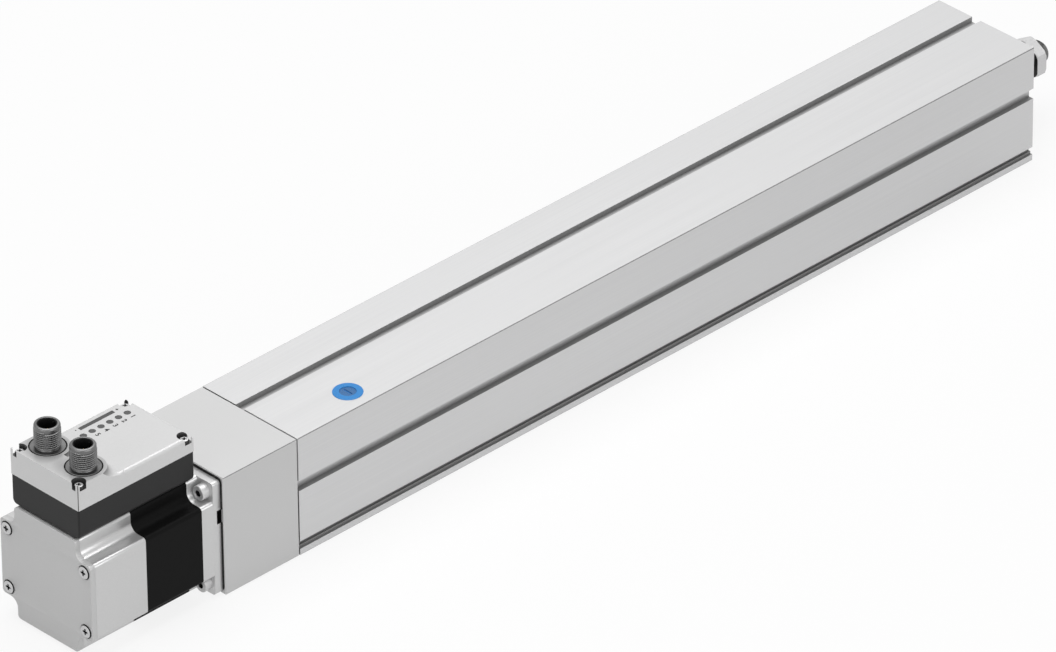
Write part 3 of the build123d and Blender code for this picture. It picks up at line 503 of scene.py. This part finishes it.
def filter_mesh():
    """Vent filter: a woven mesh with round openings half a millimetre apart."""
    finish, tree, shader, place = new_finish("filter_mesh", (0.03, 0.2, 0.6), 0.0, 0.5)
    dots = tree.nodes.new("ShaderNodeTexVoronoi")
    dots.inputs["Scale"].default_value = 1900.0
    dots.inputs["Randomness"].default_value = 0.0
    tree.links.new(place, dots.inputs["Vector"])
    colour = shader.inputs["Base Color"]
    tint(tree, dots.outputs["Distance"], (0.004, 0.02, 0.05), (0.03, 0.2, 0.52), colour, 0.3, 0.45)
    relief(tree, dots.outputs["Distance"], 0.4, 0.0002, shader)
    return finish


def circuit_board():
    """Boards: solder resist over tracks."""
    finish, tree, shader, place = new_finish("circuit_board", (0.02, 0.18, 0.08), 0.0, 0.35)
    tracks = tree.nodes.new("ShaderNodeTexBrick")
    tracks.inputs["Scale"].default_value = 260.0
    tracks.inputs["Mortar Size"].default_value = 0.05
    tracks.inputs["Color1"].default_value = (0.02, 0.2, 0.09, 1)
    tracks.inputs["Color2"].default_value = (0.015, 0.15, 0.07, 1)
    tracks.inputs["Mortar"].default_value = (0.04, 0.3, 0.14, 1)
    tree.links.new(place, tracks.inputs["Vector"])
    tree.links.new(tracks.outputs["Color"], shader.inputs["Base Color"])
    relief(tree, tracks.outputs["Fac"], 0.2, 0.00004, shader)
    return finish


def dark_window():
    """Level window: dark smoked plastic, polished."""
    finish, tree, shader, place = new_finish("dark_window", grey(0.02), 0.0, 0.12)
    haze = grain(tree, place, 500.0)
    tint(tree, haze, grey(0.014), grey(0.024), shader.inputs["Base Color"])
    spread(tree, haze, 0.1, 0.16, shader.inputs["Roughness"])
    shader.inputs["Coat Weight"].default_value = 0.5
    return finish


finishes = {
    "brushed_aluminium": profile_aluminium(),
    "blasted_aluminium": blasted_aluminium(),
    "cast_aluminium": cast_aluminium(),
    "plate_aluminium": plate_aluminium(),
    "cover_paint": cover_paint(),
    "black_paint": black_paint(),
    "steel": steel("steel", 0.5),
    "thread_steel": steel("thread_steel", 0.16),
    "zinc_steel": zinc_steel("zinc_steel"),
    "nut_zinc": zinc_steel("nut_zinc", on_nut_back),
    "plate_screw_zinc": zinc_steel("plate_screw_zinc", below_plate_heads),
    "cover_screw_zinc": zinc_steel("cover_screw_zinc", below_cover_heads),
    "flange_screw_zinc": zinc_steel("flange_screw_zinc", in_flange_sockets),
    "nickel_brass": nickel_brass(),
    "gold_pin": plain_metal("gold_pin", (0.3, 0.22, 0.11), (0.42, 0.32, 0.16), 0.3),
    "bronze": plain_metal("bronze", (0.5, 0.36, 0.18), (0.62, 0.46, 0.26), 0.4),
    "copper": plain_metal("copper", (0.5, 0.22, 0.1), (0.68, 0.35, 0.18), 0.35),
    "magnet": plain_metal("magnet", grey(0.09), grey(0.14), 0.5),
    "rubber": moulded("rubber", grey(0.007), grey(0.012), 0.65, 2400.0, 0.1, 0.15),
    "guide_plastic": moulded("guide_plastic", grey(0.04), grey(0.07), 0.5, 2000.0, 0.06, 0.3),
    "black_plastic": moulded("black_plastic", grey(0.019), grey(0.023), 0.42, 3200.0, 0.1, 0.17),
    "liner_plastic": moulded("liner_plastic", grey(0.004), grey(0.006), 0.5, 3200.0, 0.05, 0.1),
    "key_plastic": moulded("key_plastic", grey(0.075), grey(0.095), 0.45, 3000.0, 0.06, 0.3),
    "printing_ink": moulded("printing_ink", grey(0.015), grey(0.025), 0.5, 5000.0, 0.03, 0.2),
    "blue_plastic": moulded("blue_plastic", (0.02, 0.21, 0.56), (0.03, 0.24, 0.6), 0.3, 1500.0, 0.03, 0.3),
    "filter_mesh": filter_mesh(),
    "circuit_board": circuit_board(),
    "dark_window": dark_window(),
}

own_finish = {
    "motor_rear_cover": "plate_aluminium",
    "rear_cover_screws": "plate_screw_zinc",
    "electronics_cover_screws": "cover_screw_zinc",
    "motor_screws": "flange_screw_zinc",
    "rod_nut": "nut_zinc",
}

for part in frame["record"]["subparts"]:
    node = frame["nodes"][part["node"]]
    node.data.materials.clear()
    node.data.materials.append(finishes[own_finish.get(part["node"], part["material_slot"])])


# Shapes

def place_piece(name, shape, finish, body, stands_for=()):
    """The finished shape as a piece that rides on its body."""
    mesh = bpy.data.meshes.new(name)
    shape.to_mesh(mesh)
    shape.free()
    mesh.shade_smooth()
    mesh.set_sharp_from_angle(angle=math.radians(32))
    mesh.materials.append(finishes[finish])
    piece = bpy.data.objects.new(name, mesh)
    bpy.context.scene.collection.objects.link(piece)
    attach(piece, body)
    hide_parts(*stands_for)


def turned(shape, outline, foot, axis, out, closed, steps=72):
    """A part turned on a lathe from (radius, height) points above its foot."""
    foot, axis, out = Vector(foot), Vector(axis), Vector(out)
    points = [shape.verts.new(foot + out * radius + axis * height) for radius, height in outline]
    pairs = list(zip(points, points[1:])) + ([(points[-1], points[0])] if closed else [])
    edges = [shape.edges.new(pair) for pair in pairs]
    bmesh.ops.spin(shape, geom=points + edges, cent=foot, axis=axis, angle=math.tau, steps=steps,
                   use_merge=True)


def thread(shape, foot, axis, out, root, crest, pitch, turns, steps=40):
    """A helical ridge wound on a turned core."""
    foot, axis, out = Vector(foot), Vector(axis), Vector(out)
    outline = [(root, 0.03), (crest, 0.44), (crest, 0.56), (root, 0.97)]
    points = [shape.verts.new(foot + out * radius + axis * pitch * share) for radius, share in outline]
    flank = shape.faces.new(points)
    bmesh.ops.spin(shape, geom=[flank, *flank.edges, *points], cent=foot, axis=axis,
                   dvec=axis * pitch / steps, angle=math.tau * turns, steps=int(steps * turns))


def cad_shape(node):
    """A CAD part's mesh, with its flat faces whole again."""
    shape = bmesh.new()
    shape.from_mesh(frame["nodes"][node].data)
    bmesh.ops.remove_doubles(shape, verts=shape.verts, dist=2 * WELD)
    bmesh.ops.dissolve_limit(shape, angle_limit=math.radians(0.5), verts=shape.verts, edges=shape.edges)
    return shape


def close_up(shape):
    """Doubles merged and faces turned outward."""
    bmesh.ops.remove_doubles(shape, verts=shape.verts, dist=WELD)
    bmesh.ops.recalc_face_normals(shape, faces=shape.faces)


def eased(node, width, finish):
    """A CAD part with its sharp edges broken, so that they catch the light and joints show."""
    shape = cad_shape(node)
    sharp = [edge for edge in shape.edges if edge.is_manifold and edge.calc_face_angle() > math.radians(40)]
    bmesh.ops.bevel(shape, geom=sharp, offset=width, offset_type="OFFSET", affect="EDGES", segments=2,
                    profile=0.5, material=-1, clamp_overlap=True)
    place_piece(node + "_eased", shape, finish, "housing", [node])


# Motor: flange, housing and rear plate

eased("motor_flange", 0.15 * MM, "cast_aluminium")
eased("motor_housing", 0.2 * MM, "cast_aluminium")
eased("motor_rear_cover", 0.2 * MM, "plate_aluminium")


# Connectors on the deck

def connector_shell(name):
    """M12 x 1 threaded shell with its flange, a plain band and a rounded mouth."""
    low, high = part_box(name)
    foot = ((low.x + high.x) / 2, (low.y + high.y) / 2, low.z)
    rise = high.z - low.z
    flange = (high.x - low.x) / 2
    seat = CONNECTOR_SEAT
    outline = [
        (CONNECTOR_BORE, 0), (M12_RADIUS, 0), (M12_RADIUS, seat), (flange - 0.2 * MM, seat),
        (flange, seat + 0.2 * MM), (flange, seat + 1.0 * MM), (flange - 0.2 * MM, seat + 1.2 * MM),
        (5.55 * MM, seat + 1.2 * MM), (5.4 * MM, seat + 1.5 * MM), (5.4 * MM, rise - 2.15 * MM),
        (5.8 * MM, rise - 1.9 * MM), (5.85 * MM, rise - 0.9 * MM), (5.7 * MM, rise - 0.45 * MM),
        (5.42 * MM, rise - 0.13 * MM), (5.1 * MM, rise), (4.62 * MM, rise), (4.45 * MM, rise - 0.12 * MM),
        (CONNECTOR_BORE, rise - 0.4 * MM),
    ]
    shape = bmesh.new()
    turned(shape, outline, foot, (0, 0, 1), (1, 0, 0), True)
    thread_foot = seat + 1.45 * MM
    start = Vector(foot) + Vector((0, 0, thread_foot))
    turns = (rise - 2.05 * MM - thread_foot) / CONNECTOR_PITCH - 0.5
    thread(shape, start, (0, 0, 1), (1, 0, 0), 5.35 * MM, M12_RADIUS, CONNECTOR_PITCH, turns)
    bmesh.ops.recalc_face_normals(shape, faces=shape.faces)
    place_piece(name + "_threaded", shape, "nickel_brass", "housing", [name])


def connector_liners():
    """Black insulators: a floor that holds the pins, and a thin sleeve with its key up to the mouth."""
    shape = bmesh.new()
    low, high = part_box("connector_inserts")
    floor = high.z - low.z
    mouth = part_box("connector_shell_left")[1].z - 0.45 * MM - low.z
    outline = [(0, 0), (4.38 * MM, 0), (4.38 * MM, mouth), (4.05 * MM, mouth), (3.95 * MM, mouth - 0.2 * MM),
               (3.95 * MM, floor), (0, floor)]
    for side in (-1, 1):
        centre_y = side * (high.y - CONNECTOR_BORE)
        foot = ((low.x + high.x) / 2, centre_y, low.z)
        turned(shape, outline, foot, (0, 0, 1), (1, 0, 0), False)
        key = bmesh.ops.create_cube(shape, size=1.0)["verts"]
        bmesh.ops.scale(shape, verts=key, vec=(0.9 * MM, 0.8 * MM, mouth - floor - 0.8 * MM))
        middle_z = low.z + (mouth + floor) / 2 - 0.3 * MM
        bmesh.ops.translate(shape, verts=key, vec=(foot[0] + 3.8 * MM, centre_y, middle_z))
    close_up(shape)
    place_piece("connector_liners", shape, "liner_plastic", "housing", ["connector_inserts"])


def contact_pins():
    """Contacts with rounded tips, four in each connector."""
    shape = bmesh.new()
    low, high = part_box("connector_pins")
    rise = high.z - low.z
    centre_x = (low.x + high.x) / 2
    centre_y = high.y - PIN_RADIUS - PIN_CIRCLE * math.sin(math.radians(45))
    outline = [(0, 0), (PIN_RADIUS, 0), (PIN_RADIUS, rise - 0.45 * MM), (0.42 * MM, rise - 0.18 * MM),
               (0.25 * MM, rise - 0.04 * MM), (0, rise)]
    for side in (-1, 1):
        for quarter in range(4):
            turn = math.radians(45 + 90 * quarter)
            out_x, out_y = PIN_CIRCLE * math.cos(turn), PIN_CIRCLE * math.sin(turn)
            foot = (centre_x + out_x, side * centre_y + out_y, low.z)
            turned(shape, outline, foot, (0, 0, 1), (1, 0, 0), False, 24)
    close_up(shape)
    place_piece("contact_pins", shape, "gold_pin", "housing", ["connector_pins"])


connector_shell("connector_shell_left")
connector_shell("connector_shell_right")
connector_liners()
contact_pins()


# Rod's end: the collar as it is, and a threaded stud through the nut

def threaded_rod_end():
    """Collar with two flats, and an M12 x 1.25 stud."""
    shape = cad_shape("rod_end")
    cut = bmesh.ops.bisect_plane(shape, geom=[*shape.verts, *shape.edges, *shape.faces], dist=WELD,
                                 plane_co=(ROD_SHOULDER + 0.4 * MM, 0, 0), plane_no=(1, 0, 0),
                                 clear_outer=True)
    rim = [item for item in cut["geom_cut"] if isinstance(item, bmesh.types.BMEdge)]
    bmesh.ops.holes_fill(shape, edges=rim)
    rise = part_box("rod_end")[1].x - ROD_SHOULDER
    outline = [(0, 0), (5.28 * MM, 0), (5.28 * MM, rise - 0.75 * MM), (4.7 * MM, rise), (0, rise)]
    turned(shape, outline, (ROD_SHOULDER, 0, 0), (1, 0, 0), (0, 0, 1), False)
    start = (ROD_SHOULDER + 0.5 * MM, 0, 0)
    turns = (rise - 1.4 * MM) / ROD_PITCH - 1
    thread(shape, start, (1, 0, 0), (0, 0, 1), 5.22 * MM, M12_RADIUS, ROD_PITCH, turns)
    close_up(shape)
    place_piece("rod_end_threaded", shape, "thread_steel", "rod", ["rod_end"])


threaded_rod_end()


# Printing on the console: plain figures beside the buttons and signs at the window's ends

def printed(name, marks):
    """Figures and signs, with their feet towards the rear; each is (text, x, y, height)."""
    shape = bmesh.new()
    for text, x, y, tall in marks:
        outline = bpy.data.curves.new(name, "FONT")
        outline.body = text
        outline.size = tall / FIGURE_SHARE_OF_TYPE
        outline.extrude = INK_THICKNESS
        outline.offset = INK_BOLDNESS
        writing = bpy.data.objects.new(name, outline)
        bpy.context.scene.collection.objects.link(writing)
        bpy.context.view_layer.update()
        mesh = bpy.data.meshes.new_from_object(writing)
        bpy.data.objects.remove(writing)
        turn = Matrix(((0, 1, 0, x), (-1, 0, 0, y), (0, 0, 1, CONSOLE_TOP), (0, 0, 0, 1)))
        mesh.transform(turn)
        shape.from_mesh(mesh)
        bpy.data.meshes.remove(mesh)
    bmesh.ops.remove_doubles(shape, verts=shape.verts, dist=WELD / 2)
    place_piece(name, shape, "printing_ink", "housing")


def key_figures():
    """The numbers 1 to 6, one beside each button."""
    marks = []
    for number in range(1, 7):
        low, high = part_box("key_" + str(number))
        x = (low.x + high.x) / 2 - FIGURE_HEIGHT / 2
        marks.append((str(number), x, low.y - 0.9 * MM, FIGURE_HEIGHT))
    printed("key_figures", marks)


def level_signs():
    """A minus and a plus at the ends of the level window."""
    low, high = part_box("level_window")
    y = high.y - 0.2 * MM
    printed("level_signs", [("-", low.x - 2.3 * MM, y, SIGN_HEIGHT), ("+", high.x + 1.0 * MM, y, SIGN_HEIGHT)])


key_figures()
level_signs()


# Floor, lamps and camera

def softbox(name, place, aim, size, power):
    """A large soft lamp that faces a point."""
    lamp = bpy.data.lights.new(name, "AREA")
    lamp.shape = "RECTANGLE"
    lamp.size, lamp.size_y = size
    lamp.energy = power
    holder = bpy.data.objects.new(name, lamp)
    holder.location = place
    holder.rotation_euler = (Vector(aim) - Vector(place)).to_track_quat("-Z", "Y").to_euler()
    bpy.context.scene.collection.objects.link(holder)


def seen_share(tree):
    """1 for rays that come from the camera, a reflection or glass, and 0 for the light itself."""
    path = tree.nodes.new("ShaderNodeLightPath")
    either = arithmetic(tree, "MAXIMUM", path.outputs["Is Camera Ray"], path.outputs["Is Glossy Ray"])
    return arithmetic(tree, "MAXIMUM", either, path.outputs["Is Transmission Ray"])


def studio_world():
    """White where it is seen, and a dim even light otherwise."""
    world = bpy.data.worlds.new("studio")
    bpy.context.scene.world = world
    world.use_nodes = True
    tree = world.node_tree
    ambient = tree.nodes["Background"]
    ambient.inputs["Color"].default_value = (1, 1, 1, 1)
    ambient.inputs["Strength"].default_value = 0.25
    white = tree.nodes.new("ShaderNodeBackground")
    white.inputs["Color"].default_value = (1, 1, 1, 1)
    white.inputs["Strength"].default_value = 1.0
    mix = tree.nodes.new("ShaderNodeMixShader")
    tree.links.new(seen_share(tree), mix.inputs["Fac"])
    tree.links.new(ambient.outputs["Background"], mix.inputs[1])
    tree.links.new(white.outputs["Background"], mix.inputs[2])
    tree.links.new(mix.outputs["Shader"], tree.nodes["World Output"].inputs["Surface"])


def studio_floor():
    """Pale paper that takes soft shadows."""
    mesh = bpy.data.meshes.new("floor")
    shape = bmesh.new()
    bmesh.ops.create_grid(shape, x_segments=1, y_segments=1, size=5.0)
    bmesh.ops.translate(shape, verts=shape.verts, vec=(0, 0, cad_bounds[0][2] - 0.0002))
    shape.to_mesh(mesh)
    shape.free()
    floor = bpy.data.objects.new("floor", mesh)
    bpy.context.scene.collection.objects.link(floor)
    paper = bpy.data.materials.new("white_paper")
    paper.use_nodes = True
    tree = paper.node_tree
    tree.nodes.clear()
    output = tree.nodes.new("ShaderNodeOutputMaterial")
    diffuse = tree.nodes.new("ShaderNodeBsdfDiffuse")
    diffuse.inputs["Color"].default_value = (0.85, 0.85, 0.85, 1)
    glow = tree.nodes.new("ShaderNodeEmission")
    glow.inputs["Color"].default_value = (1, 1, 1, 1)
    glow.inputs["Strength"].default_value = 1.0
    mix = tree.nodes.new("ShaderNodeMixShader")
    share = arithmetic(tree, "MULTIPLY", seen_share(tree), 0.85)
    tree.links.new(share, mix.inputs["Fac"])
    tree.links.new(diffuse.outputs["BSDF"], mix.inputs[1])
    tree.links.new(glow.outputs["Emission"], mix.inputs[2])
    tree.links.new(mix.outputs["Shader"], output.inputs["Surface"])
    mesh.materials.append(paper)


def studio_camera():
    """A long lens at the photo's angle."""
    lens = bpy.data.cameras.new("camera")
    lens.sensor_width = 36.0
    lens.lens = 382.19
    camera = bpy.data.objects.new("camera", lens)
    camera.location = (-3.2057, -3.0064, 2.6567)
    camera.rotation_euler = Euler((math.radians(57.5834), math.radians(0.4856), math.radians(-44.4007)))
    bpy.context.scene.collection.objects.link(camera)
    bpy.context.scene.camera = camera


studio_world()
studio_floor()
middle = (-0.25, 0, 0)
softbox("overhead_softbox", (-0.25, 0.2, 1.8), middle, (2.2, 1.6), 32)
softbox("side_softbox", (-0.5, -2.2, 0.8), middle, (1.8, 1.2), 15.5)
softbox("rear_softbox", (-2.6, -0.3, 0.7), middle, (1.2, 1.0), 6.5)
studio_camera()
bpy.context.scene.view_settings.view_transform = "Standard"
